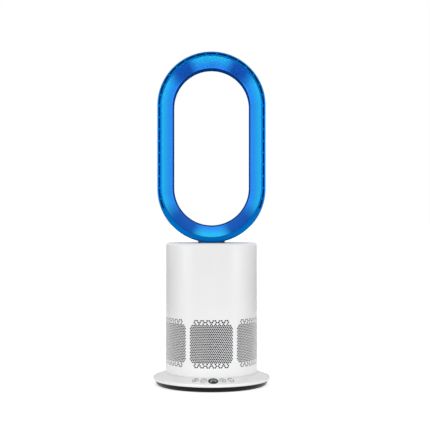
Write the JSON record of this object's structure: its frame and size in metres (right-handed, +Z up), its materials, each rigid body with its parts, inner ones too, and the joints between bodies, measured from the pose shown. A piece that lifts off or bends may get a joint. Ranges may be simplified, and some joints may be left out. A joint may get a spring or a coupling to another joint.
{
  "type": "bladeless fan",
  "caption": "Free-standing bladeless fan: round base with keys and display, white perforated tower that swings, and an upright racetrack-shaped blue air loop with slots in its rim.",
  "frame": {"origin": "centre of the underside, on the swing axis, on the surface that the feet stand on", "axes": "+Z up along the swing axis and the fan's height, -Y towards the front, where the controls are and the air leaves the loop"},
  "size_m": [0.216, 0.216, 0.6122],
  "materials": {
    "white_shell": "satin-gloss moulded white",
    "black_gloss_shell": "high gloss black",
    "blue_shell": "glossy metallic blue lacquer",
    "navy_plastic": "satin dark navy",
    "display_window": "smoked glossy window",
    "dark_plastic": "matt dark grey",
    "grey_plastic": "matt mid grey",
    "nylon": "natural nylon",
    "rubber": "matt black rubber",
    "steel": "plain zinc-plated",
    "copper": "lacquered copper winding",
    "circuit_board": "solder-masked board"
  },
  "bodies": {
    "base": {"base_pan": "black_gloss_shell", "base_cover": "white_shell", "control_panel": "white_shell", "display_lens": "display_window", "display_module": "dark_plastic", "control_board": "circuit_board", "key_switch_1": "dark_plastic", "key_switch_2": "dark_plastic", "key_switch_3": "dark_plastic", "key_switch_4": "dark_plastic", "power_inlet": "dark_plastic", "power_board": "circuit_board", "fixed_gear": "nylon", "slide_ring": "nylon", "foot_1": "rubber", "foot_2": "rubber", "foot_3": "rubber", "foot_4": "rubber", "foot_5": "rubber", "base_screw_1": "steel", "base_screw_2": "steel", "base_screw_3": "steel", "base_screw_4": "steel"},
    "tower": {"turntable_plate": "grey_plastic", "hub_retainer": "steel", "retainer_screw_1": "steel", "retainer_screw_2": "steel", "retainer_screw_3": "steel", "oscillation_motor": "steel", "tower_shell": "white_shell", "dust_screen": "dark_plastic", "top_cover": "white_shell", "impeller_housing": "grey_plastic", "diffuser": "grey_plastic", "motor_end_cap": "grey_plastic", "motor_stator": "copper", "upper_bearing": "steel", "lower_bearing": "steel", "air_duct": "grey_plastic", "neck_gasket": "rubber", "loop_neck": "navy_plastic", "neck_collar": "navy_plastic", "loop_rear_shell": "blue_shell", "loop_inner_shell": "blue_shell", "loop_front_rim": "blue_shell"},
    "pinion": {"drive_pinion": "nylon", "output_shaft": "steel"},
    "impeller": {"impeller": "dark_plastic", "impeller_nut": "steel", "motor_shaft": "steel", "motor_rotor": "steel"},
    "power_key": {"power_key": "white_shell"},
    "slower_key": {"slower_key": "white_shell"},
    "faster_key": {"faster_key": "white_shell"},
    "timer_key": {"timer_key": "white_shell"},
    "side_catch_right": {"side_catch_right": "white_shell"},
    "side_catch_left": {"side_catch_left": "white_shell"}
  },
  "joints": [
    {"name": "tower_swing", "type": "hinge", "parent": "base", "child": "tower", "pos_m": [0, 0, 0.024], "axis": [0, 0, 1], "range_deg": [-40, 40]},
    {"name": "pinion_turn", "type": "hinge", "parent": "tower", "child": "pinion", "pos_m": [0, 0.042, 0.027], "axis": [0, 0, 1], "range_deg": [-130, 130]},
    {"name": "impeller_spin", "type": "hinge", "parent": "tower", "child": "impeller", "pos_m": [0, 0, 0.156], "axis": [0, 0, 1], "continuous": true},
    {"name": "power_key_press", "type": "slide", "parent": "base", "child": "power_key", "axis": [0.1021, 0.3299, -0.9385], "range_m": [0, 0.0006], "stiffness_N_per_m": 600, "springref_m": -0.001},
    {"name": "slower_key_press", "type": "slide", "parent": "base", "child": "slower_key", "axis": [0.0492, 0.3418, -0.9385], "range_m": [0, 0.0006], "stiffness_N_per_m": 600, "springref_m": -0.001},
    {"name": "faster_key_press", "type": "slide", "parent": "base", "child": "faster_key", "axis": [-0.073, 0.3375, -0.9385], "range_m": [0, 0.0006], "stiffness_N_per_m": 600, "springref_m": -0.001},
    {"name": "timer_key_press", "type": "slide", "parent": "base", "child": "timer_key", "axis": [-0.1249, 0.3219, -0.9385], "range_m": [0, 0.0006], "stiffness_N_per_m": 600, "springref_m": -0.001},
    {"name": "side_catch_right_press", "type": "slide", "parent": "tower", "child": "side_catch_right", "axis": [-1, 0, 0], "range_m": [0, 0.0012], "stiffness_N_per_m": 800, "springref_m": -0.001},
    {"name": "side_catch_left_press", "type": "slide", "parent": "tower", "child": "side_catch_left", "axis": [1, 0, 0], "range_m": [0, 0.0012], "stiffness_N_per_m": 800, "springref_m": -0.001}
  ],
  "couplings": [
    {"joint": "pinion_turn", "follows": "tower_swing", "ratio": 3.2}
  ]
}
